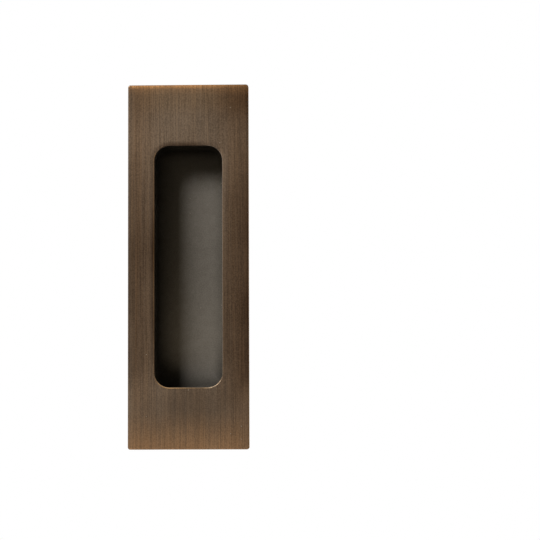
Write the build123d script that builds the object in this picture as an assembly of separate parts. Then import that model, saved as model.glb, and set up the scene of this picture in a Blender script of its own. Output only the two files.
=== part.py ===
from build123d import *
import os

# Rectangular flush pull for a sliding door, with its fixing hidden behind the cover plate.
# A die-cast cup is sunk in the door and screwed through its flange. A milled brass plate
# fits over the flange like a lid and is held by magnets, so no screw shows.
# The frame is that of the handle on the door: +Z up, +X to the right, the room on the -Y side.
# Depths are y values: y = 0 is the door's surface, and a depth grows into the door.
# The origin is the middle of the screw pattern, on the door's surface. Sizes are in mm.

# Cover plate
plate_height = 151.0
plate_width = 50.0
plate_stand = 3.5  # how far the plate stands out from the door
plate_wall = 1.3  # thickness behind its face
plate_lip = 1.45  # thickness of the rim that covers the flange's edge
plate_corner_radius = 1.0
plate_edge_round = 0.7
plate_deburr = 0.2  # on the rim's back edge
tray_corner_radius = 2.0  # left by the milling cutter

# Window in the plate
window_height = 100.0
window_width = 28.0
window_corner_radius = 6.2
window_edge_round = 0.5

# Cup
finger_depth = 12.0  # from the plate's face to the cup's floor
cup_wall = 1.5
cup_floor = 1.5
cup_draft = 1.5  # degrees
cup_inner_round = 1.5
cup_outer_round = 2.7
window_overhang = 1.0  # how far the plate's window edge hides the cup's mouth
flange_clearance = 0.2  # all round, between the flange and the plate's rim

# Marks that the casting die's ejector pins leave on the cup's back
pin_mark_radius = 2.5
pin_mark_depth = 0.2
pin_mark_margin = 4.0  # from the flat back's edge to the mark

# Countersunk wood screw, 3.0 x 16
screw_radius = 1.5
screw_length = 16.0
screw_tip_length = 3.5
screw_tip_radius = 0.15
screw_neck_radius = 1.25
screw_neck_length = 0.2
screw_head_radius = 3.0
screw_head_edge = 0.15
screw_margin = 6.35  # from a screw's axis to the flange's edge
cross_width = 0.8
cross_length = 3.2
cross_depth = 1.3
cross_bottom_width = 0.45
cross_bottom_length = 1.3
hole_clearance = 0.2  # on the radius, round the thread
head_clearance = 0.05  # between the head and its countersink
head_sink = 0.1  # how far the head lies below the flange

# Magnets in the flange, and steel keepers in the plate
magnet_radius = 3.0
magnet_thickness = 1.5
magnet_chamfer = 0.2
keeper_radius = 3.0
keeper_thickness = 0.6
glue_clearance = 0.1  # on the radius, round a magnet or a keeper

# Depths of the faces that meet
face_depth = -plate_stand
seat_depth = face_depth + plate_wall  # the plate's inside, which sits on the flange
floor_depth = face_depth + finger_depth
back_depth = floor_depth + cup_floor

# Outlines that follow from the plate and the window
flange_width = plate_width - 2 * (plate_lip + flange_clearance)
flange_height = plate_height - 2 * (plate_lip + flange_clearance)
mouth_width = window_width + 2 * window_overhang
mouth_height = window_height + 2 * window_overhang
mouth_radius = window_corner_radius + window_overhang
cup_width = mouth_width + 2 * cup_wall
cup_height = mouth_height + 2 * cup_wall

# The screws and magnets stand in a row, evenly spaced, in the middle of each end of the flange.
row_height = (cup_height + flange_height) / 4
screw_place = flange_width / 2 - screw_margin
magnet_place = screw_place / 3
CORNERS = {
    "upper_left": (-1, 1),
    "upper_right": (1, 1),
    "lower_left": (-1, -1),
    "lower_right": (1, -1),
}


# A block with rounded corners between two depths. A taper, in degrees, narrows it into the door.
def rounded_block(width, height, radius, front, back, taper=0.0):
    into_door = Plane(origin=(0, front, 0), x_dir=(1, 0, 0), z_dir=(0, 1, 0))
    return extrude(into_door * RectangleRounded(width, height, radius), back - front, taper=taper)


# A round body on the axis of depth, from its profile of (radius, depth) points.
def turned(*profile):
    points = [(0, profile[0][1]), *profile, (0, profile[-1][1])]
    return revolve(make_face(Polyline(*points, close=True)), Axis.Y)


# A plain disc or drill between two depths.
def disc(radius, front, back):
    return turned((radius, front), (radius, back))


# Four copies of a shape, one in each corner of the screw or magnet pattern.
def in_corners(shape, place):
    return [Pos(side * place, 0, end * row_height) * shape for side, end in CORNERS.values()]


# The brass plate: a tray milled from one block, with the window through its face.
def make_face_plate():
    plate = rounded_block(plate_width, plate_height, plate_corner_radius, face_depth, 0)
    plate = fillet(plate.edges().group_by(Axis.Y)[0], plate_edge_round)
    plate = chamfer(plate.edges().group_by(Axis.Y)[-1], plate_deburr)
    tray_width = plate_width - 2 * plate_lip
    tray_height = plate_height - 2 * plate_lip
    plate -= rounded_block(tray_width, tray_height, tray_corner_radius, seat_depth, 0)
    plate -= rounded_block(window_width, window_height, window_corner_radius, face_depth, seat_depth)
    face = plate.faces().sort_by(Axis.Y)[0]
    plate = fillet(face.inner_wires()[0].edges(), window_edge_round)
    recess = disc(keeper_radius + glue_clearance, seat_depth - keeper_thickness, seat_depth)
    return plate - in_corners(recess, magnet_place)


# The inside of the cup, with the draft that lets a casting leave its die.
def make_cavity():
    cavity = rounded_block(mouth_width, mouth_height, mouth_radius, seat_depth, floor_depth, cup_draft)
    return fillet(cavity.edges().group_by(Axis.Y)[-1], cup_inner_round)


# The cup: one casting, with its walls, its floor and the flange that lies on the door.
def make_cup():
    outer_radius = mouth_radius + cup_wall
    body = rounded_block(cup_width, cup_height, outer_radius, seat_depth, back_depth, cup_draft)
    body = fillet(body.edges().group_by(Axis.Y)[-1], cup_outer_round)
    back = body.faces().sort_by(Axis.Y)[-1].bounding_box()
    mark = disc(pin_mark_radius, back_depth - pin_mark_depth, back_depth)
    inset = pin_mark_margin + pin_mark_radius
    marks = [Pos(0, 0, end * (back.max.Z - inset)) * mark for end in (-1, 0, 1)]
    flange_radius = tray_corner_radius - flange_clearance
    flange = rounded_block(flange_width, flange_height, flange_radius, seat_depth, 0)
    cup = flange + body - make_cavity() - marks
    cup -= in_corners(make_screw_hole(), screw_place)
    pocket = disc(magnet_radius + glue_clearance, seat_depth, seat_depth + magnet_thickness)
    return cup - in_corners(pocket, magnet_place)


# The drill and countersink that one screw needs through the flange.
def make_screw_hole():
    drill = screw_radius + hole_clearance
    sink = screw_head_radius + head_clearance
    edge = seat_depth + head_sink + screw_head_edge
    return turned((sink, seat_depth), (sink, edge), (drill, edge + sink - drill), (drill, 0))


# A wood screw: countersunk head with a cross recess, short neck, thread at its outer size, point.
def make_screw():
    head_top = seat_depth + head_sink
    head_edge = head_top + screw_head_edge
    neck_start = head_edge + screw_head_radius - screw_neck_radius
    thread_start = neck_start + screw_neck_length
    point = head_top + screw_length
    screw = turned(
        (screw_head_radius, head_top),
        (screw_head_radius, head_edge),
        (screw_neck_radius, neck_start),
        (screw_neck_radius, thread_start),
        (screw_radius, thread_start),
        (screw_radius, point - screw_tip_length),
        (screw_tip_radius, point),
    )
    mouth = Plane(origin=(0, head_top, 0), x_dir=(1, 0, 0), z_dir=(0, 1, 0))
    wing = loft(
        [
            mouth * Rectangle(cross_length, cross_width),
            mouth.offset(cross_depth) * Rectangle(cross_bottom_length, cross_bottom_width),
        ]
    )
    return screw - wing - Rot(Y=90) * wing


# A disc magnet, glued to the bottom of its pocket and level with the flange.
def make_magnet():
    magnet = disc(magnet_radius, seat_depth, seat_depth + magnet_thickness)
    return chamfer(magnet.edges().filter_by(GeomType.CIRCLE), magnet_chamfer)


# A steel disc, level with the inside of the plate.
def make_keeper():
    return disc(keeper_radius, seat_depth - keeper_thickness, seat_depth)


os.makedirs("parts", exist_ok=True)
export_step(make_face_plate(), "parts/face_plate.step")
export_step(make_cup(), "parts/cup.step")
hardware = {
    "screw": (make_screw(), screw_place),
    "magnet": (make_magnet(), magnet_place),
    "keeper": (make_keeper(), magnet_place),
}
for kind, (piece, place) in hardware.items():
    for corner, copy in zip(CORNERS, in_corners(piece, place)):
        export_step(copy, f"parts/{kind}_{corner}.step")
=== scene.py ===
import math

import bmesh
import bpy
from mathutils import Matrix, Vector


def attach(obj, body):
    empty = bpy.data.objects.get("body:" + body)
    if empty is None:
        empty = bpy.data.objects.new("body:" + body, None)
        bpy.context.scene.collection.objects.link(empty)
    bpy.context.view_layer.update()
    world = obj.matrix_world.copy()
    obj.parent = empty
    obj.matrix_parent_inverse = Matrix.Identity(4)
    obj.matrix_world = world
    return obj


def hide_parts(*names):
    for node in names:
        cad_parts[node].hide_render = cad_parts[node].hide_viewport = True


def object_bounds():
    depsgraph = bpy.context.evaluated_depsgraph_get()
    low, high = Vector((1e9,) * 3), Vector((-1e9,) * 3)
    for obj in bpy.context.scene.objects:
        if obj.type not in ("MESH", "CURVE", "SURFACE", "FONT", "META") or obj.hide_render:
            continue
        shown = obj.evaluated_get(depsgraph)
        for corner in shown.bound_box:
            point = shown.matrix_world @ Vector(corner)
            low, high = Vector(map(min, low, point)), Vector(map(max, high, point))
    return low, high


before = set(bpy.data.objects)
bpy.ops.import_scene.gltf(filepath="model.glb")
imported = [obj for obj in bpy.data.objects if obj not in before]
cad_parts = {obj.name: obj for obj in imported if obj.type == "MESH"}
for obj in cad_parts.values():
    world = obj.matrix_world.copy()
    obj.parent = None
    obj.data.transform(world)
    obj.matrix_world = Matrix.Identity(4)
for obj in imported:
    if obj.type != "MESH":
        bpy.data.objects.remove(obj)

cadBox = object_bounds()
mm = 0.001  # the scene is in metres
tiny = 0.001 * mm  # points nearer than this count as level
quarterTurn = math.radians(90)
corners = ["upper_left", "upper_right", "lower_left", "lower_right"]


def deselectAll():
    bpy.ops.object.select_all(action="DESELECT")


def pickOnly(piece):
    deselectAll()
    piece.select_set(True)
    bpy.context.view_layer.objects.active = piece


def bevelEdges(piece, wanted, offset, segments):
    # rounds the edges whose two ends pass the test, or chamfers them with one segment
    pickOnly(piece)
    bpy.ops.object.mode_set(mode="EDIT")
    bpy.ops.mesh.select_mode(type="EDGE")
    bpy.ops.mesh.select_all(action="DESELECT")
    mesh = bmesh.from_edit_mesh(piece.data)
    for edge in mesh.edges:
        edge.select = wanted(edge.verts[0].co, edge.verts[1].co)
    mesh.select_flush_mode()
    bmesh.update_edit_mesh(piece.data)
    bpy.ops.mesh.bevel(offset=offset, offset_type="OFFSET", segments=segments, profile=0.5)
    bpy.ops.object.mode_set(mode="OBJECT")


def applyModifier(piece, kind, **settings):
    pickOnly(piece)
    modifier = piece.modifiers.new(kind.title(), kind)
    for name, value in settings.items():
        setattr(modifier, name, value)
    bpy.ops.object.modifier_apply(modifier=modifier.name)


def combineWith(piece, other, operation):
    # DIFFERENCE cuts the other piece out, INTERSECT keeps what both fill and UNION joins them
    applyModifier(piece, "BOOLEAN", operation=operation, object=other, solver="EXACT")
    bpy.data.objects.remove(other)


def bakePlace(piece):
    pickOnly(piece)
    bpy.ops.object.transform_apply(location=True, rotation=True, scale=True)


def smoothByAngle(piece, degrees):
    pickOnly(piece)
    bpy.ops.object.shade_smooth_by_angle(angle=math.radians(degrees))


def roundedBlock(name, width, height, radius, front, back, segments):
    # a block between two depths, its four corners rounded
    def alongDepth(a, b):
        return abs(a.x - b.x) < tiny and abs(a.z - b.z) < tiny

    deselectAll()
    middle = (front + back) / 2
    bpy.ops.mesh.primitive_cube_add(size=1, location=(0, middle, 0), scale=(width, back - front, height))
    block = bpy.context.object
    block.name = name
    bakePlace(block)
    bevelEdges(block, alongDepth, radius, segments)
    return block


def nodeBox(node):
    points = [node.matrix_world @ Vector(corner) for corner in node.bound_box]
    low = Vector(min(point[axis] for point in points) for axis in range(3))
    high = Vector(max(point[axis] for point in points) for axis in range(3))
    return low, high


# Nodes: one call adds a node, sets it and feeds it
def feed(tree, node, feeds):
    # each socket is linked to another node's output or set to a plain value
    for socket, value in feeds.items():
        if isinstance(value, bpy.types.NodeSocket):
            tree.links.new(value, node.inputs[socket])
        else:
            node.inputs[socket].default_value = value


def addNode(tree, kind, feeds=None, **settings):
    node = tree.nodes.new("ShaderNode" + kind)
    for name, value in settings.items():
        setattr(node, name, value)
    feed(tree, node, feeds or {})
    return node


def calculate(tree, operation, *values, clamp=False):
    return addNode(tree, "Math", dict(enumerate(values)), operation=operation, use_clamp=clamp).outputs[0]


def combine(tree, operation, *values):
    # one operation on any number of values, one after the other
    total = values[0]
    for value in values[1:]:
        total = calculate(tree, operation, total, value)
    return total


def fadeBetween(tree, value, low, high, toLow=0.0, toHigh=1.0, shape="SMOOTHSTEP"):
    feeds = {0: value, 1: low, 2: high, 3: toLow, 4: toHigh}
    return addNode(tree, "MapRange", feeds, interpolation_type=shape).outputs[0]


def curveThrough(tree, value, points):
    # a smooth curve through a few points, each coordinate 0 to 1
    node = addNode(tree, "FloatCurve", {"Value": value})
    curve = node.mapping.curves[0]
    for point in points[1:-1]:
        curve.points.new(*point)
    curve.points[0].location = points[0]
    curve.points[-1].location = points[-1]
    node.mapping.update()
    return node.outputs[0]


def blendColours(tree, factor, first, second, blend="MIX"):
    feeds = {0: factor, 6: first, 7: second}
    return addNode(tree, "Mix", feeds, data_type="RGBA", blend_type=blend, clamp_factor=False).outputs[2]


def scaleTone(tree, tone, strength):
    return addNode(tree, "VectorMath", {"Vector": tone, "Scale": strength}, operation="SCALE").outputs[0]


def addBump(tree, height, bump):
    feeds = {"Strength": bump["strength"], "Distance": bump["distance"], "Height": height}
    return addNode(tree, "Bump", feeds).outputs[0]


def facingAlong(tree, axis):
    # how squarely a face looks along an axis, either way, 0 to 1
    normal = addNode(tree, "SeparateXYZ", {0: addNode(tree, "NewGeometry").outputs["Normal"]})
    return calculate(tree, "ABSOLUTE", normal.outputs[axis])


def openGroup(name, **values):
    # a group that is given a vector, and the named values with these defaults
    group = bpy.data.node_groups.new(name, "ShaderNodeTree")
    group.interface.new_socket("Vector", in_out="INPUT", socket_type="NodeSocketVector")
    for label, default in values.items():
        socket = group.interface.new_socket(label, in_out="INPUT", socket_type="NodeSocketFloat")
        socket.default_value = default
    return group, group.nodes.new("NodeGroupInput")


def closeGroup(group, outputs):
    for label in outputs:
        group.interface.new_socket(label, in_out="OUTPUT", socket_type="NodeSocketFloat")
    feed(group, group.nodes.new("NodeGroupOutput"), outputs)
    return group


def useGroup(tree, group, feeds):
    return addNode(tree, "Group", feeds, node_tree=group)


def toLinear(value):
    # an sRGB value of 0 to 1 as Blender's linear one
    return value / 12.92 if value <= 0.04045 else ((value + 0.055) / 1.055) ** 2.4


def colour(red, green, blue):
    # from sRGB values of 0 to 255
    return (*(toLinear(value / 255) for value in (red, green, blue)), 1.0)


def newMaterial(name):
    material = bpy.data.materials.new(name)
    material.use_nodes = True
    return material, material.node_tree, material.node_tree.nodes["Principled BSDF"]


def giveMaterial(piece, material):
    piece.data.materials.clear()
    piece.data.materials.append(material)


print("camera and studio")
cameraSetup = {
    "distance": 0.90,  # lens to plate, square to the plate
    "right": 0.0641,  # lens right of the plate's middle
    "below": 0.0632,  # and below it
    "turnLeft": 1.93,  # degrees
    "lookUp": 3.90,
    "roll": -0.20,
    "imagePixels": 540,
    "pixelsPerMm": 2.433,  # on the plate's face
    "sensorWidth": 36,  # in mm, as the lens is
    "nearest": 0.05,
    "farthest": 20,
}


def addCamera(setup):
    data = bpy.data.cameras.new("photoCamera")
    camera = bpy.data.objects.new("photoCamera", data)
    bpy.context.scene.collection.objects.link(camera)
    bpy.context.scene.camera = camera
    imageWidth = setup["imagePixels"] * mm / setup["pixelsPerMm"]
    data.sensor_width = setup["sensorWidth"]
    data.lens = data.sensor_width * setup["distance"] / imageWidth
    data.clip_start = setup["nearest"]
    data.clip_end = setup["farthest"]
    camera.location = (setup["right"], cadBox[0].y - setup["distance"], -setup["below"])
    turn = Matrix.Rotation(math.radians(setup["turnLeft"]), 4, "Z")
    tilt = Matrix.Rotation(math.radians(90 + setup["lookUp"]), 4, "X")
    roll = Matrix.Rotation(math.radians(setup["roll"]), 4, "Z")
    camera.rotation_euler = (turn @ tilt @ roll).to_euler()


addCamera(cameraSetup)

floorShade = 0.8
studio = {
    "backgroundWhite": 1.0,
    "ambient": 0.02,  # how much the white room lights dull surfaces
    "ambientColour": (1.0, 0.90, 0.70, 1),
    "floorDrop": 0.21,  # floor below the origin
    "floorSize": 3.5,
    "floorShader": {
        "Base Color": (floorShade, floorShade, floorShade, 1),
        "Roughness": 0.9,
        "Specular IOR Level": 0.0,
    },
    "floorLight": math.pi / floorShade,  # a sun on the floor alone brings it to plain white
    "floorLightTilt": 20,  # degrees from straight down
    "floorLightTurn": -45,  # so that it comes from the left and the front
    "floorLightAngle": 6,  # for a soft shadow of the object on the floor
}
# spread is the angle that a lamp's grid leaves open; a narrow one sends less light to the floor
lamps = {
    "keySoftbox": {
        "place": (-0.720, -0.60, 0.728),
        "aim": (0, 0, 0),
        "size": (0.42, 0.36),
        "spread": 30,
        "power": 0.90,
    },
    "lowCard": {
        "place": (-0.0515, -0.0853, -0.1416),
        "aim": (-0.0515, 0, -0.1416),
        "size": (0.068, 0.103),
        "spread": 180,
        "power": 0.13,
        "tint": (1.0, 0.88, 0.68),
        "only": "cup",  # softens the shadow in the recess, and leaves the plate alone
    },
    "backLeft": {
        "place": (-0.6, 0.8, 0.4),
        "aim": (0, 0, 0),
        "size": (0.6, 0.6),
        "spread": 60,
        "power": 1.2,
    },
    "backRight": {
        "place": (0.7, 0.7, 0.1),
        "aim": (0, 0, 0),
        "size": (0.6, 0.6),
        "spread": 60,
        "power": 0.8,
    },
}


def splitByRay(tree, seen, dull, output):
    # camera, mirror and glass rays meet the first shader, all other rays the second
    path = addNode(tree, "LightPath")
    rays = ("Is Camera Ray", "Is Glossy Ray", "Is Transmission Ray")
    direct = combine(tree, "MAXIMUM", *(path.outputs[ray] for ray in rays))
    mix = addNode(tree, "MixShader", {0: direct, 1: dull, 2: seen})
    feed(tree, output, {"Surface": mix.outputs[0]})


def addRoom():
    world = bpy.data.worlds.new("whiteRoom")
    bpy.context.scene.world = world
    world.use_nodes = True
    tree = world.node_tree
    dull = tree.nodes["Background"]
    feed(tree, dull, {"Color": studio["ambientColour"], "Strength": studio["ambient"]})
    white = addNode(tree, "Background", {"Color": (1, 1, 1, 1), "Strength": studio["backgroundWhite"]})
    splitByRay(tree, white.outputs[0], dull.outputs[0], tree.nodes["World Output"])


def makePaleFloor():
    # keeps the object's shadow, and sends no more light up than the room does
    material, tree, shader = newMaterial("paleFloor")
    feed(tree, shader, studio["floorShader"])
    dull = addNode(tree, "Emission", {"Color": studio["ambientColour"], "Strength": studio["ambient"]})
    # from below the floor is clear, so that the object shows from there too
    clear = addNode(tree, "BsdfTransparent")
    fromBelow = addNode(tree, "NewGeometry").outputs["Backfacing"]
    seen = addNode(tree, "MixShader", {0: fromBelow, 1: shader.outputs[0], 2: clear.outputs[0]})
    splitByRay(tree, seen.outputs[0], dull.outputs[0], tree.nodes["Material Output"])
    return material


def addLight(name, kind, energy):
    data = bpy.data.lights.new(name, kind)
    data.energy = energy
    light = bpy.data.objects.new(name, data)
    bpy.context.scene.collection.objects.link(light)
    return light


def lightOnly(light, piece):
    # the lamp lights this piece alone; everything still casts its shadow
    receivers = bpy.data.collections.new(light.name + "Receivers")
    receivers.objects.link(piece)
    light.light_linking.receiver_collection = receivers


def addFloor():
    deselectAll()
    bpy.ops.mesh.primitive_plane_add(size=studio["floorSize"], location=(0, 0, -studio["floorDrop"]))
    floor = bpy.context.object
    floor.name = "paleFloor"
    bakePlace(floor)
    giveMaterial(floor, makePaleFloor())
    tilt = math.radians(studio["floorLightTilt"])
    light = addLight("floorLight", "SUN", studio["floorLight"] / math.cos(tilt))
    light.data.angle = math.radians(studio["floorLightAngle"])
    light.rotation_euler = (tilt, 0, math.radians(studio["floorLightTurn"]))
    lightOnly(light, floor)


def addLamps():
    for name, lamp in lamps.items():
        light = addLight(name, "AREA", lamp["power"])
        light.data.shape = "RECTANGLE"
        light.data.size, light.data.size_y = lamp["size"]
        light.data.spread = math.radians(lamp["spread"])
        light.data.color = lamp.get("tint", (1, 1, 1))
        light.location = lamp["place"]
        ahead = Vector(lamp["aim"]) - Vector(lamp["place"])
        light.rotation_euler = ahead.to_track_quat("-Z", "Y").to_euler()
        light.visible_camera = False
        if "only" in lamp:
            lightOnly(light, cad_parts[lamp["only"]])


addRoom()
addFloor()
addLamps()
bpy.context.scene.view_settings.view_transform = "Standard"

print("finishes")
brushing = {
    "marks": {
        "Hair": {"width": 0.34 * mm, "length": 20 * mm, "detail": 2.0},
        "Grain": {"width": 0.45 * mm, "length": 36 * mm, "detail": 2.0},
        "Streak": {"width": 1.7 * mm, "length": 45 * mm, "detail": 1.0},
        "Tint": {"width": 0.55 * mm, "length": 60 * mm, "detail": 1.0},
    },
    "noiseRange": (0.25, 0.75),  # this part of the noise becomes 0 to 1
    "endFaces": (0.6, 0.8),  # the marks turn on faces that look along Z this squarely
}


def makeBrushMarks():
    # marks that a brushing belt leaves along Z, or along X on the two end faces, each 0 to 1
    group, given = openGroup("brushMarks")
    spot = addNode(group, "SeparateXYZ", {0: given.outputs["Vector"]})
    turnedFeeds = {"X": spot.outputs["Z"], "Y": spot.outputs["Y"], "Z": spot.outputs["X"]}
    turned = addNode(group, "CombineXYZ", turnedFeeds)
    endFace = fadeBetween(group, facingAlong(group, "Z"), *brushing["endFaces"])
    feeds = {0: endFace, 4: given.outputs["Vector"], 5: turned.outputs[0]}
    along = addNode(group, "Mix", feeds, data_type="VECTOR").outputs[1]
    found = {}
    for label, mark in brushing["marks"].items():
        across = 1 / mark["width"]
        scale = (across, across, 1 / mark["length"])
        spread = addNode(group, "VectorMath", {0: along, 1: scale}, operation="MULTIPLY")
        feeds = {"Vector": spread.outputs[0], "Scale": 1.0, "Detail": mark["detail"]}
        noise = addNode(group, "TexNoise", feeds)
        found[label] = fadeBetween(group, noise.outputs[0], *brushing["noiseRange"])
    return closeGroup(group, found)


dust = {
    "cells": 230.0,  # per metre; a few of them hold a grain of dust
    "share": 0.03,  # of the cells
    "radius": 0.03,  # of a grain, in cells
    "facing": 0.8,  # how squarely a face has to look along Y
    "tone": colour(150, 140, 125),
}


def makeDustSpecks():
    # a few pale grains of dust on faces that look along Y
    group, given = openGroup("dustSpecks", Share=0.1, Radius=0.1)
    spot = addNode(group, "SeparateXYZ", {0: given.outputs["Vector"]})
    flat = addNode(group, "CombineXYZ", {"X": spot.outputs["X"], "Y": spot.outputs["Z"]})
    feeds = {"Vector": flat.outputs[0], "Scale": dust["cells"]}
    cells = addNode(group, "TexVoronoi", feeds, voronoi_dimensions="2D")
    near = calculate(group, "LESS_THAN", cells.outputs["Distance"], given.outputs["Radius"])
    draw = addNode(group, "SeparateColor", {0: cells.outputs["Color"]})
    chosen = calculate(group, "LESS_THAN", draw.outputs[0], given.outputs["Share"])
    front = calculate(group, "GREATER_THAN", facingAlong(group, "Y"), dust["facing"])
    return closeGroup(group, {"Dust": combine(group, "MULTIPLY", near, chosen, front)})


speckleRange = (0.3, 0.7)  # nearly all of a noise texture's values lie between these


def makeSoftSpeckle():
    # soft noise between a low and a high value; its scale is in waves per metre
    group, given = openGroup("softSpeckle", Scale=1000.0, Detail=2.0, Low=0.0, High=1.0)
    feeds = {label: given.outputs[label] for label in ("Vector", "Scale", "Detail")}
    noise = addNode(group, "TexNoise", feeds)
    places = (*speckleRange, given.outputs["Low"], given.outputs["High"])
    return closeGroup(group, {"Value": fadeBetween(group, noise.outputs[0], *places)})


plateFace = {
    "halfWidth": cadBox[1].x,
    "halfHeight": cadBox[1].z,
    "face": cadBox[0].y,
    "windowHalfWidth": 14 * mm,
    "windowHalfHeight": 50 * mm,
    "windowCorner": 6.2 * mm,
}


def makePlateZones():
    # where a point of the plate lies: in from its sides and ends, out from the window and behind
    # its face; its place across and along the plate from -1 to 1, and outward from 0 to 1
    group, given = openGroup("plateZones")
    spot = addNode(group, "SeparateXYZ", {0: given.outputs["Vector"]})
    across = calculate(group, "ABSOLUTE", spot.outputs["X"])
    along = calculate(group, "ABSOLUTE", spot.outputs["Z"])
    corner = plateFace["windowCorner"]
    pastSide = calculate(group, "SUBTRACT", across, plateFace["windowHalfWidth"] - corner)
    pastEnd = calculate(group, "SUBTRACT", along, plateFace["windowHalfHeight"] - corner)
    beyondSide = calculate(group, "MAXIMUM", pastSide, 0.0)
    beyondEnd = calculate(group, "MAXIMUM", pastEnd, 0.0)
    square = calculate(group, "MULTIPLY", beyondSide, beyondSide)
    beyond = calculate(group, "SQRT", calculate(group, "MULTIPLY_ADD", beyondEnd, beyondEnd, square))
    inside = calculate(group, "MINIMUM", calculate(group, "MAXIMUM", pastSide, pastEnd), 0.0)
    right = calculate(group, "DIVIDE", spot.outputs["X"], plateFace["halfWidth"])
    found = {
        "Side": calculate(group, "SUBTRACT", plateFace["halfWidth"], across),
        "End": calculate(group, "SUBTRACT", plateFace["halfHeight"], along),
        "Window": calculate(group, "SUBTRACT", calculate(group, "ADD", beyond, inside), corner),
        "Depth": calculate(group, "SUBTRACT", spot.outputs["Y"], plateFace["face"]),
        "Right": right,
        "Outward": calculate(group, "ABSOLUTE", right),
        "Up": calculate(group, "DIVIDE", spot.outputs["Z"], plateFace["halfHeight"]),
    }
    return closeGroup(group, found)


brushMarks = makeBrushMarks()
dustSpecks = makeDustSpecks()
softSpeckle = makeSoftSpeckle()
plateZones = makePlateZones()


def addDust(tree, spot, tone):
    feeds = {"Vector": spot, "Share": dust["share"], "Radius": dust["radius"]}
    specks = useGroup(tree, dustSpecks, feeds)
    return blendColours(tree, specks.outputs["Dust"], tone, dust["tone"])


def speckleOf(tree, spot, noise, middle=0.0):
    # it reaches as far above a middle value as below it
    feeds = {
        "Vector": spot,
        "Scale": noise["scale"],
        "Detail": noise["detail"],
        "Low": middle - noise["reach"],
        "High": middle + noise["reach"],
    }
    return useGroup(tree, softSpeckle, feeds).outputs["Value"]


# A patch is a stretch where a finish differs. It is the product of smooth fades, each given as a
# zone, the two places in it that the fade runs between and, if not 0 and 1, its values there.
def patchOf(tree, zones, fades, *values):
    # the patch, times any values that are given with it
    strengths = [fadeBetween(tree, zones.outputs[zone], *places) for zone, *places in fades]
    return combine(tree, "MULTIPLY", *values, *strengths)


def addPatches(tree, zones, patches):
    return combine(tree, "ADD", *(patchOf(tree, zones, fades) for fades in patches.values()))


def curveAcross(tree, zones, points):
    # a curve from the plate's left side, 0, to its right side, 1
    place = calculate(tree, "MULTIPLY_ADD", zones.outputs["Right"], 0.5, 0.5)
    return curveThrough(tree, place, points)


def swing(tree, mark, reach, middle=0.0):
    # a brush mark, 0 to 1, as a swing above and below a middle value
    return fadeBetween(tree, mark, 0.0, 1.0, middle - reach, middle + reach)


def lessen(tree, value, mask, share):
    # takes this share off the value where the mask is 1
    return calculate(tree, "MULTIPLY", value, calculate(tree, "MULTIPLY_ADD", mask, -share, 1.0))


nearWindow = ("Window", 2.4 * mm, 0.4 * mm)
lowCorner = [("Up", -0.58, -0.70), ("Up", -0.78, -0.92, 1.0, 0.55)]
patinaAndPaintedLight = {
    "dark": colour(50, 37, 26),
    "light": colour(102, 86, 70),
    "reddening": (1.0, 0.88, 0.76, 1),  # multiplies the tone
    # partly painted light and shade: lightest left of the middle, falling off towards the right side
    "acrossCurve": [
        (0, 0.64), (0.16, 0.90), (0.30, 1.0), (0.45, 0.90), (0.65, 0.84), (0.83, 0.60), (1, 0.13),
    ],
    "acrossHeight": 0.5,
    "acrossBase": -0.3,
    "acrossFade": [("Up", -0.6, -0.75, 1.0, -0.2)],
    "clouds": {"scale": 60.0, "detail": 2.0, "reach": 0.06},
    # these add up to how far the dark tone is lightened: partly patina, partly painted light and shade,
    # lighter towards the top, darker towards the right side and the outer edges
    "lightnessWithPaintedLight": {
        "upperHalf": [("Up", 0.0, 0.8, 0.30, 0.56)],
        "lowerHalf": [("Up", -0.2, -1.0, 0.0, 0.2)],
        "topEnd": [("Up", 0.80, 0.93, 0.0, -0.03)],
        "outerEdge": [("Side", 0.0, 1.5 * mm, -0.08, 0.0)],
        "topCorners": [("Up", 0.68, 0.92, 0.07, -0.12), ("Outward", 0.35, 0.85), ("Up", 0.55, 0.7)],
        "topRight": [("Up", 0.72, 0.9, 0.0, -0.08), ("Right", 0.2, 0.6)],
        "lowLeft": [("Right", -0.22, -0.52, 0.0, 0.24), *lowCorner],
        "lowRight": [("Right", 0.15, 0.4, 0.0, 0.08), *lowCorner],
        "midRight": [("Right", 0.42, 0.55, 0.0, -0.06), ("Up", -0.3, -0.5), ("Up", -0.8, -0.68)],
        "midLeft": [
            ("Right", -0.42, -0.54, 0.0, -0.15),
            ("Right", -0.98, -0.8, 0.3, 1.0),
            ("Up", 0.48, 0.22),
            ("Up", -0.4, 0.22),
        ],
        # painted shade above the window and to the left of it, and a painted highlight to the right of it
        "paintedShadeAboveWindow": [nearWindow, ("Up", 0.6, 0.68, 0.0, -0.60), ("Right", 0.0, 0.4, 1.0, 0.3)],
        "paintedShadeLeftOfWindow": [
            nearWindow,
            ("Right", -0.5, -0.58, 0.0, -0.34),
            ("Up", -0.35, -0.6, 1.0, 0.3),
        ],
        "paintedHighlightRightOfWindow": [
            ("Window", 2.0 * mm, 1.0 * mm, 0.0, 0.22),
            ("Right", 0.5, 0.56),
            ("Up", 0.0, 0.3, 0.3, 1.0),
            ("Up", -0.4, -0.1),
        ],
    },
    "redder": {
        "sides": [
            ("Outward", 0.35, 0.95, 0.0, 0.7),
            ("Right", -0.99, -0.86),
            ("Up", -0.7, -0.85, 1.0, 0.7),
        ],
        "topRight": [("Up", 0.72, 0.9, 0.0, 0.25), ("Right", 0.2, 0.6)],
    },
}


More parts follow.
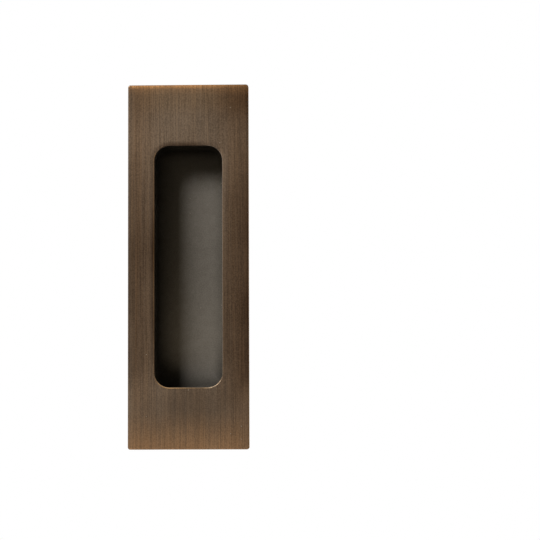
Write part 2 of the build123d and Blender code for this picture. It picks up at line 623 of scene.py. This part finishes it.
def addPatinaAndPaintedLight(tree, spot, zones):
    # from dark to light over the plate, and redder towards its sides; the lightness is partly patina and
    # partly painted light and shade
    curve = curveAcross(tree, zones, patinaAndPaintedLight["acrossCurve"])
    across = calculate(tree, "MULTIPLY_ADD", curve, patinaAndPaintedLight["acrossHeight"], patinaAndPaintedLight["acrossBase"])
    across = patchOf(tree, zones, patinaAndPaintedLight["acrossFade"], across)
    cloud = speckleOf(tree, spot, patinaAndPaintedLight["clouds"])
    lightnessWithPaintedLight = combine(tree, "ADD", addPatches(tree, zones, patinaAndPaintedLight["lightnessWithPaintedLight"]), across, cloud)
    tone = blendColours(tree, lightnessWithPaintedLight, patinaAndPaintedLight["dark"], patinaAndPaintedLight["light"])
    redder = addPatches(tree, zones, patinaAndPaintedLight["redder"])
    return blendColours(tree, redder, tone, patinaAndPaintedLight["reddening"], "MULTIPLY")


# bare brass shows through at both ends, and is worn through on the edges; the worn edge is partly a
# painted highlight, strongest along the top
bareBrassAndEdgeHighlight = {
    "tone": colour(160, 117, 75),
    "topEnd": [("Up", 0.93, 0.99, 0.0, 0.14)],
    "bottomRise": (-0.78, -0.98),  # along Up
    "bottomPower": 1.3,  # above 1 it starts more slowly
    "bottomHeight": 0.29,
    "bottomFade": [("Right", 0.7, 0.98, 1.0, 0.5)],
    # partly wear, partly a painted highlight: stronger at the top end than the bottom, weaker towards the
    # right, faint at the left corners
    "wornEdgeAndPaintedHighlight": [
        ("End", 2.6 * mm, 0.3 * mm, 0.0, 0.66),
        ("Up", -0.5, 0.5, 0.47, 1.0),
        ("Right", -0.99, -0.93, 0.15, 1.0),
        ("Right", 0.1, 0.95, 1.0, 0.4),
        ("Depth", 0.4 * mm, 1.2 * mm, 1.0, 0.3),
    ],
    "grain": 0.1,  # how far the grain varies it
}


def addBareBrassAndPaintedHighlight(tree, zones, marks, tone):
    rise = fadeBetween(tree, zones.outputs["Up"], *bareBrassAndEdgeHighlight["bottomRise"], shape="LINEAR")
    rise = calculate(tree, "POWER", rise, bareBrassAndEdgeHighlight["bottomPower"])
    bottom = patchOf(tree, zones, bareBrassAndEdgeHighlight["bottomFade"], rise, bareBrassAndEdgeHighlight["bottomHeight"])
    ends = calculate(tree, "ADD", patchOf(tree, zones, bareBrassAndEdgeHighlight["topEnd"]), bottom)
    bareAndPaintedHighlight = calculate(tree, "MAXIMUM", ends, patchOf(tree, zones, bareBrassAndEdgeHighlight["wornEdgeAndPaintedHighlight"]))
    grain = swing(tree, marks.outputs["Grain"], bareBrassAndEdgeHighlight["grain"], 1.0)
    return blendColours(tree, calculate(tree, "MULTIPLY", bareAndPaintedHighlight, grain), tone, bareBrassAndEdgeHighlight["tone"])


# the window's rounded edge, worn golden round its lower half and paler at the right: partly wear, partly a
# painted highlight along the lower and right sides, which face the light
windowRim = {
    "golden": colour(172, 126, 66),
    "pale": colour(166, 144, 118),
    "lowWearAndHighlightCurve": [
        (0, 1), (0.30, 0.96), (0.42, 0.74), (0.56, 0.46), (0.62, 0.80), (0.68, 1.0), (0.715, 0.15), (1, 0),
    ],
    "lessWearAndHighlight": 0.75,  # how much less its outer part is worn and highlighted, where it is
    "outerShade": 0.25,  # painted shade: how much darker that part is on the right side
    "patches": {
        "whole": [("Window", 0.5 * mm, 0.2 * mm)],
        "inner": [("Window", 0.30 * mm, 0.10 * mm)],  # towards the recess
        "sideInner": [("Window", 0.38 * mm, 0.24 * mm)],
        "rightSide": [("Right", 0.50, 0.555)],
        "leftWear": [("Right", -0.50, -0.55, 0.0, 0.24)],
        "rightWearAndHighlight": [("Right", 0.50, 0.55), ("Up", 0.5, 0.0, 0.03, 0.28), ("Up", -0.61, -0.56)],
        "lowWearAndHighlight": [("Up", -0.61, -0.648)],
        "lessWornAndHighlighted": [("Right", 0.0, 0.2), ("Right", 0.24, 0.32, 1.0, 0.15)],  # its outer part, with less wear and painted highlight
        # the paler tone towards the right and round the lower right corner is the colour of a painted
        # highlight
        "paler": [("Right", -0.6, 0.1, 0.9, 1.2)],
        "paleHighlightCorner": [("Right", 0.24, 0.34), ("Up", -0.55, -0.60, 0.0, 0.9)],
        "rightGloss": [("Right", 0.2, 0.5), ("Up", -0.5, -0.58, 1.0, 0.28)],
        "lowGloss": [("Up", -0.58, -0.66, 0.0, 0.6)],
    },
}


def findRim(tree, zones):
    # the masks of the rim that the brass needs, and its tone
    part = {name: patchOf(tree, zones, fades) for name, fades in windowRim["patches"].items()}
    inner = calculate(tree, "MULTIPLY", part["sideInner"], part["rightSide"])
    inner = calculate(tree, "MAXIMUM", part["inner"], inner)
    lowCurve = curveAcross(tree, zones, windowRim["lowWearAndHighlightCurve"])
    lowWearAndHighlight = calculate(tree, "MULTIPLY", part["lowWearAndHighlight"], lowCurve)
    wearAndPaintedHighlight = combine(tree, "MAXIMUM", part["leftWear"], part["rightWearAndHighlight"], lowWearAndHighlight)
    wearAndPaintedHighlight = calculate(tree, "MULTIPLY", part["whole"], wearAndPaintedHighlight)
    lessWornAndHighlighted = calculate(tree, "MULTIPLY", part["lessWornAndHighlighted"], calculate(tree, "SUBTRACT", 1.0, inner))
    paler = calculate(tree, "MULTIPLY", inner, part["paler"])
    paler = calculate(tree, "MAXIMUM", paler, part["paleHighlightCorner"])
    rightOuter = calculate(tree, "SUBTRACT", part["whole"], part["sideInner"])
    gloss = calculate(tree, "MAXIMUM", part["rightGloss"], part["lowGloss"])
    return {
        "whole": part["whole"],
        "wearAndPaintedHighlight": lessen(tree, wearAndPaintedHighlight, lessWornAndHighlighted, windowRim["lessWearAndHighlight"]),
        "tone": blendColours(tree, paler, windowRim["golden"], windowRim["pale"]),
        "rightOuter": calculate(tree, "MULTIPLY", part["rightSide"], rightOuter, clamp=True),
        "gloss": calculate(tree, "MULTIPLY", inner, gloss),
    }


brushLines = {
    "streak": 0.035,  # how far each mark lightens and darkens the tone
    "grain": 0.10,
    "hair": 0.18,
    "lineStrength": [("Up", -0.6, -0.8, 0.95, 0.65), ("Right", 0.0, -0.6, 1.0, 1.1)],
    "flecks": {"scale": 2200.0, "detail": 1.0, "reach": 0.20},
    "fleckStrength": [("Up", -0.6, -0.8, 1.0, 0.8)],
    "greyLine": (0.965, 1.0, 1.05, 1),  # these two multiply the tone from line to line
    "goldLine": (1.035, 1.0, 0.94, 1),
    "evenly": 0.5,  # neither grey nor golden
    "tintStrength": [
        ("Up", 0.72, 0.58, 0.5, 1.0),
        ("Up", -0.72, -0.58, 0.45, 1.0),
        ("Right", 0.0, 0.6, 1.0, 0.75),
    ],
    "goldenLow": [("Up", -0.55, -0.75, 0.0, 1.3)],
    "goldenTop": [("Up", 0.80, 0.93, 0.0, 0.9), ("Right", -1.0, -0.65, 0.3, 1.0)],
}


def addBrushLines(tree, spot, zones, marks, rim, tone):
    # the lines lighten and darken every tone alike, most on the left and least at the bottom
    streak = swing(tree, marks.outputs["Streak"], brushLines["streak"], 1.0)
    grain = swing(tree, marks.outputs["Grain"], brushLines["grain"])
    hair = swing(tree, marks.outputs["Hair"], brushLines["hair"])
    lines = patchOf(tree, zones, brushLines["lineStrength"], calculate(tree, "ADD", grain, hair))
    fleck = speckleOf(tree, spot, brushLines["flecks"])
    fleck = patchOf(tree, zones, brushLines["fleckStrength"], fleck)
    strength = combine(tree, "ADD", streak, lines, fleck)
    # painted shade on the outer part of the rim on the right side
    strength = lessen(tree, strength, rim["rightOuter"], windowRim["outerShade"])
    # some lines are more golden than others, at the bottom the light ones; the top end is golden
    golden = calculate(tree, "SUBTRACT", marks.outputs["Tint"], brushLines["evenly"])
    golden = patchOf(tree, zones, brushLines["tintStrength"], golden)
    goldenLow = patchOf(tree, zones, brushLines["goldenLow"], lines)
    goldenTop = patchOf(tree, zones, brushLines["goldenTop"])
    golden = combine(tree, "ADD", brushLines["evenly"], golden, goldenLow, goldenTop)
    lineTone = blendColours(tree, golden, brushLines["greyLine"], brushLines["goldLine"])
    return blendColours(tree, 1.0, scaleTone(tree, tone, strength), lineTone, "MULTIPLY")


brassSurface = {
    "endFaces": [("End", 0.3 * mm, 0.05 * mm), ("Depth", 0.3 * mm, 0.9 * mm)],
    "endShade": (0.50, 0.56, 0.70, 1),  # painted shade, darker and cooler: multiplies the tone there, behind the worn edge
    "roughness": (0.52, 0.40),  # where a hair line is 0 and where it is 1
    "smootherRim": 0.1,
    "shader": {"Metallic": 0.9, "Coat Roughness": 0.4, "Specular Tint": (0.6, 0.5, 0.4, 1)},
    "bump": {"strength": 0.2, "distance": 0.04 * mm},
}


def makeAgedBrass():
    material, tree, shader = newMaterial("agedBrass")
    spot = addNode(tree, "TexCoord").outputs["Object"]
    zones = useGroup(tree, plateZones, {"Vector": spot})
    marks = useGroup(tree, brushMarks, {"Vector": spot})
    rim = findRim(tree, zones)
    tone = addPatinaAndPaintedLight(tree, spot, zones)
    tone = addBareBrassAndPaintedHighlight(tree, zones, marks, tone)
    tone = blendColours(tree, rim["wearAndPaintedHighlight"], tone, rim["tone"])
    tone = addBrushLines(tree, spot, zones, marks, rim, tone)
    endFaces = patchOf(tree, zones, brassSurface["endFaces"])
    tone = blendColours(tree, endFaces, tone, brassSurface["endShade"], "MULTIPLY")
    rough = fadeBetween(tree, marks.outputs["Hair"], 0.0, 1.0, *brassSurface["roughness"])
    height = calculate(tree, "ADD", marks.outputs["Hair"], marks.outputs["Grain"])
    feeds = {
        "Base Color": addDust(tree, spot, tone),
        "Roughness": calculate(tree, "MULTIPLY_ADD", rim["whole"], -brassSurface["smootherRim"], rough),
        "Coat Weight": rim["gloss"],
        "Normal": addBump(tree, height, brassSurface["bump"]),
        **brassSurface["shader"],
    }
    feed(tree, shader, feeds)
    return material


# the sprayed coat's tone, with painted shade towards the ends of the recess, at its top and by its right
# wall
coating = {
    "coatTone": colour(96, 91, 84),
    "paintedShade": colour(70, 66, 60),
    "ends": {"upper": [("Z", 43.5 * mm, 49.5 * mm)], "lower": [("Z", -43.5 * mm, -49.5 * mm)]},
    "rightWall": [("X", 9 * mm, 13.5 * mm, 0.0, 0.5), ("Z", -28 * mm, -44 * mm, 1.0, 2.0)],
    "top": [("Z", 46 * mm, 50 * mm, 0.0, 0.7)],
    "paintedLightCurve": [(0, 0.1), (0.26, 0.4), (0.5, 0.05), (0.74, 0.85), (0.86, 0.8), (1, 0.1)],
    "paintedLightHeight": 0.15,
    "clouds": {"scale": 420.0, "detail": 2.0, "reach": 0.04},
    "grains": {"scale": 3200.0, "detail": 1.0, "reach": 0.13},
    "peel": {"scale": 2200.0, "detail": 2.0},
    "bump": {"strength": 0.15, "distance": 0.04 * mm},
    "shader": {"Roughness": 0.6, "Specular IOR Level": 0.02},
}


def makeCupCoating():
    material, tree, shader = newMaterial("cupCoating")
    spot = addNode(tree, "TexCoord").outputs["Object"]
    places = addNode(tree, "SeparateXYZ", {0: spot})
    paintedShade = addPatches(tree, places, coating["ends"])
    paintedShade = calculate(tree, "MAXIMUM", paintedShade, patchOf(tree, places, coating["rightWall"]))
    paintedShade = calculate(tree, "ADD", paintedShade, patchOf(tree, places, coating["top"]))
    tone = blendColours(tree, paintedShade, coating["coatTone"], coating["paintedShade"])
    # faint cloudiness and grain, and paler at some heights than at others, the paler heights being painted
    # light
    cloudy = speckleOf(tree, spot, coating["clouds"], 1.0)
    grainy = speckleOf(tree, spot, coating["grains"])
    perHeight = 1 / (2 * plateFace["windowHalfHeight"])
    upShare = calculate(tree, "MULTIPLY_ADD", places.outputs["Z"], perHeight, 0.5)
    pale = curveThrough(tree, upShare, coating["paintedLightCurve"])
    pale = calculate(tree, "MULTIPLY", pale, coating["paintedLightHeight"])
    tone = scaleTone(tree, tone, combine(tree, "ADD", cloudy, grainy, pale))
    peelFeeds = {"Vector": spot, "Scale": coating["peel"]["scale"], "Detail": coating["peel"]["detail"]}
    peel = addNode(tree, "TexNoise", peelFeeds)
    feeds = {
        "Base Color": addDust(tree, spot, tone),
        "Normal": addBump(tree, peel.outputs[0], coating["bump"]),
        **coating["shader"],
    }
    feed(tree, shader, feeds)
    return material


steels = {
    "zincPlate": {"tone": colour(190, 190, 184), "roughness": 0.38},
    "nickelPlate": {"tone": colour(205, 200, 190), "roughness": 0.18},
    "bareSteel": {"tone": colour(150, 150, 150), "roughness": 0.4},
}
steelSpeckle = {"scale": 1500.0, "detail": 3.0, "reach": 0.06}  # in the roughness


def makeSteel(name):
    material, tree, shader = newMaterial(name)
    spot = addNode(tree, "TexCoord").outputs["Object"]
    rough = speckleOf(tree, spot, steelSpeckle, steels[name]["roughness"])
    feed(tree, shader, {"Base Color": steels[name]["tone"], "Metallic": 1.0, "Roughness": rough})
    return material


finishes = {
    "face_plate": makeAgedBrass(),
    "cup": makeCupCoating(),
    "screw": makeSteel("zincPlate"),
    "magnet": makeSteel("nickelPlate"),
    "keeper": makeSteel("bareSteel"),
}
for kind, finish in finishes.items():
    for node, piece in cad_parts.items():
        if node.startswith(kind):
            giveMaterial(piece, finish)

print("cover plate")
coverPlate = {
    "cornerRadius": 1.0 * mm,
    "edgeRound": 0.7 * mm,
    "deburr": 0.2 * mm,
    "wall": 1.3 * mm,
    "lip": 1.45 * mm,
    "trayRadius": 2.0 * mm,
    "windowRound": 0.5 * mm,
    "onWindow": 0.02 * mm,  # points this near to the window's outline are on it
    "keeperGap": 0.1 * mm,
    "past": 1.0 * mm,  # how far a cutter goes past the face that it cuts
    "roundSegments": 6,
    "windowSegments": 24,
    "recessSides": 48,
    "smoothAngle": 35,  # degrees
    "flatFaceWeight": 100,  # keeps the shading of flat faces flat
}


def makeCoverPlate(shape):
    # a tray milled from one block, with the window through its face
    low, high = nodeBox(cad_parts["face_plate"])
    seat = low.y + shape["wall"]
    rounds = shape["roundSegments"]

    def atFront(a, b):
        return max(a.y, b.y) < low.y + tiny

    def atBack(a, b):
        return min(a.y, b.y) > high.y - tiny

    def atWindow(a, b):
        return atFront(a, b) and onWindow(a, shape["onWindow"]) and onWindow(b, shape["onWindow"])

    width, height = high.x - low.x, high.z - low.z
    plate = roundedBlock("coverPlate", width, height, shape["cornerRadius"], low.y, high.y, rounds)
    bevelEdges(plate, atFront, shape["edgeRound"], rounds)
    bevelEdges(plate, atBack, shape["deburr"], 1)
    tray = roundedBlock(
        "tray",
        width - 2 * shape["lip"],
        height - 2 * shape["lip"],
        shape["trayRadius"],
        seat,
        high.y + shape["past"],
        rounds,
    )
    combineWith(plate, tray, "DIFFERENCE")
    window = roundedBlock(
        "window",
        2 * plateFace["windowHalfWidth"],
        2 * plateFace["windowHalfHeight"],
        plateFace["windowCorner"],
        low.y - shape["past"],
        seat + shape["past"],
        shape["windowSegments"],
    )
    combineWith(plate, window, "DIFFERENCE")
    bevelEdges(plate, atWindow, shape["windowRound"], rounds)
    for corner in corners:
        combineWith(plate, makeRecess(shape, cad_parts["keeper_" + corner], seat), "DIFFERENCE")
    smoothByAngle(plate, shape["smoothAngle"])
    applyModifier(plate, "WEIGHTED_NORMAL", keep_sharp=True, weight=shape["flatFaceWeight"])
    return plate


def onWindow(point, reach):
    # whether a point lies on the window's outline
    corner = plateFace["windowCorner"]
    pastSide = abs(point.x) - plateFace["windowHalfWidth"] + corner
    pastEnd = abs(point.z) - plateFace["windowHalfHeight"] + corner
    if pastSide > 0 and pastEnd > 0:
        return abs(math.hypot(pastSide, pastEnd) - corner) < reach
    return abs(max(pastSide, pastEnd) - corner) < reach


def makeRecess(shape, keeper, seat):
    # what is cut out of the plate for one keeper
    low, high = nodeBox(keeper)
    deselectAll()
    bpy.ops.mesh.primitive_cylinder_add(
        vertices=shape["recessSides"],
        radius=(high.x - low.x) / 2 + shape["keeperGap"],
        depth=seat + shape["past"] - low.y,
        location=((low.x + high.x) / 2, (low.y + seat + shape["past"]) / 2, (low.z + high.z) / 2),
        rotation=(quarterTurn, 0, 0),
    )
    recess = bpy.context.object
    bakePlace(recess)
    return recess


def addCoverPlate():
    plate = makeCoverPlate(coverPlate)
    giveMaterial(plate, finishes["face_plate"])
    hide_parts("face_plate")
    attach(plate, "root")


addCoverPlate()

print("screws")
woodScrew = {
    "headEdge": 0.15 * mm,
    "neck": 1.25 * mm,  # this and the next three are radii
    "core": 1.0 * mm,
    "thread": 1.48 * mm,
    "tip": 0.12 * mm,
    "neckEnd": 2.10 * mm,  # these two are depths from the head's top
    "taperStart": 12.5 * mm,
    "coreStart": 0.3 * mm,  # and these two from the neck's end
    "ridgeStart": 0.5 * mm,
    "pitch": 1.35 * mm,
    "toothWidth": 0.62 * mm,
    "toothMargin": 0.1 * mm,  # the ridge reaches this far into the core, and out to be trimmed
    "tipMargin": 0.02 * mm,  # the thread ends this much wider than the tip, and this much before it
    "crossDepth": 1.3 * mm,
    "crossMouth": (3.2 * mm, 0.8 * mm),
    "crossBottom": (1.3 * mm, 0.45 * mm),
    "aboveHead": 0.2 * mm,  # how far the cross cutter stands out of the head
    "sides": 32,
    "smoothAngle": 35,  # degrees
}


def turnedBar(name, rings, sides):
    # a round bar along Y, extruded ring by ring; each ring is a radius and a depth
    deselectAll()
    radius, depth = rings[0]
    bpy.ops.mesh.primitive_circle_add(
        vertices=sides,
        radius=radius,
        fill_type="NGON",
        location=(0, depth, 0),
        rotation=(quarterTurn, 0, 0),
    )
    bar = bpy.context.object
    bar.name = name
    bakePlace(bar)
    bpy.ops.object.mode_set(mode="EDIT")
    bpy.ops.mesh.select_all(action="SELECT")
    for nextRadius, nextDepth in rings[1:]:
        bpy.ops.mesh.extrude_region_move(TRANSFORM_OT_translate={"value": (0, nextDepth - depth, 0)})
        share = nextRadius / radius
        bpy.ops.transform.resize(value=(share, 1, share), center_override=(0, nextDepth, 0))
        radius, depth = nextRadius, nextDepth
    bpy.ops.mesh.select_all(action="SELECT")
    bpy.ops.mesh.normals_make_consistent(inside=False)
    bpy.ops.object.mode_set(mode="OBJECT")
    return bar


def makeThread(shape, start, end):
    # a three-sided ridge, wound round the Y axis
    deselectAll()
    foot = shape["core"] - shape["toothMargin"]
    height = shape["thread"] + shape["toothMargin"] - foot
    reach = height / 1.5  # the radius of an even triangle's circle
    bpy.ops.mesh.primitive_circle_add(
        vertices=3,
        radius=reach,
        location=(foot + reach / 2, start, 0),
        rotation=(0, 0, -quarterTurn),
    )
    ridge = bpy.context.object
    ridge.name = "thread"
    ridge.scale.x = shape["toothWidth"] / (math.sqrt(3) * reach)  # its side is sqrt(3) radii long
    bakePlace(ridge)
    applyModifier(
        ridge,
        "SCREW",
        axis="Y",
        screw_offset=shape["pitch"],
        iterations=round((end - start) / shape["pitch"]),
        steps=shape["sides"],
        render_steps=shape["sides"],
    )
    bpy.ops.object.mode_set(mode="EDIT")
    bpy.ops.mesh.select_all(action="SELECT")
    bpy.ops.mesh.fill_holes(sides=3)
    bpy.ops.mesh.normals_make_consistent(inside=False)
    bpy.ops.object.mode_set(mode="OBJECT")
    return ridge


def makeCrossCutter(shape, headTop, turn):
    # one wing of the cross recess, narrower at its bottom
    deselectAll()
    mouthLong, mouthWide = shape["crossMouth"]
    bottomLong, bottomWide = shape["crossBottom"]
    depth = shape["crossDepth"] + shape["aboveHead"]
    bpy.ops.mesh.primitive_cube_add(
        size=1,
        location=(0, headTop - shape["aboveHead"] + depth / 2, 0),
        scale=(mouthLong, depth, mouthWide),
    )
    wing = bpy.context.object
    bakePlace(wing)
    bpy.ops.object.mode_set(mode="EDIT")
    bpy.ops.mesh.select_all(action="DESELECT")
    mesh = bmesh.from_edit_mesh(wing.data)
    for face in mesh.faces:
        face.select = face.normal.y > 0.9  # the bottom one
    mesh.select_flush_mode()
    bmesh.update_edit_mesh(wing.data)
    bpy.ops.transform.resize(value=(bottomLong / mouthLong, 1, bottomWide / mouthWide))
    bpy.ops.object.mode_set(mode="OBJECT")
    wing.rotation_euler.y = turn
    bakePlace(wing)
    return wing


def makeScrew(shape, headTop, point, headRadius):
    # head, neck, core and thread as one mesh on the Y axis
    headSide = headTop + shape["headEdge"]
    neckStart = headSide + headRadius - shape["neck"]
    neckEnd = headTop + shape["neckEnd"]
    taper = headTop + shape["taperStart"]
    rings = [
        (headRadius, headTop),
        (headRadius, headSide),
        (shape["neck"], neckStart),
        (shape["neck"], neckEnd),
        (shape["core"], neckEnd + shape["coreStart"]),
        (shape["core"], taper),
        (shape["tip"], point),
    ]
    screw = turnedBar("screw", rings, shape["sides"])
    thread = makeThread(shape, neckEnd + shape["ridgeStart"], point)
    outerRings = [
        (shape["thread"], neckEnd),
        (shape["thread"], taper),
        (shape["tip"] + shape["tipMargin"], point - shape["tipMargin"]),
    ]
    envelope = turnedBar("threadEnvelope", outerRings, 2 * shape["sides"])
    combineWith(thread, envelope, "INTERSECT")
    combineWith(screw, thread, "UNION")
    for turn in (0, quarterTurn):
        combineWith(screw, makeCrossCutter(shape, headTop, turn), "DIFFERENCE")
    smoothByAngle(screw, shape["smoothAngle"])
    return screw


def addScrews():
    low, high = nodeBox(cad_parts["screw_upper_left"])
    pattern = makeScrew(woodScrew, low.y, high.y, (high.x - low.x) / 2)
    giveMaterial(pattern, finishes["screw"])
    for corner in corners:
        low, high = nodeBox(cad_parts["screw_" + corner])
        screw = pattern.copy()
        screw.data = pattern.data.copy()
        screw.name = "threadedScrew_" + corner
        bpy.context.scene.collection.objects.link(screw)
        screw.location = ((low.x + high.x) / 2, 0, (low.z + high.z) / 2)
        bakePlace(screw)
        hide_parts("screw_" + corner)
        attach(screw, "root")
    bpy.data.objects.remove(pattern)


addScrews()
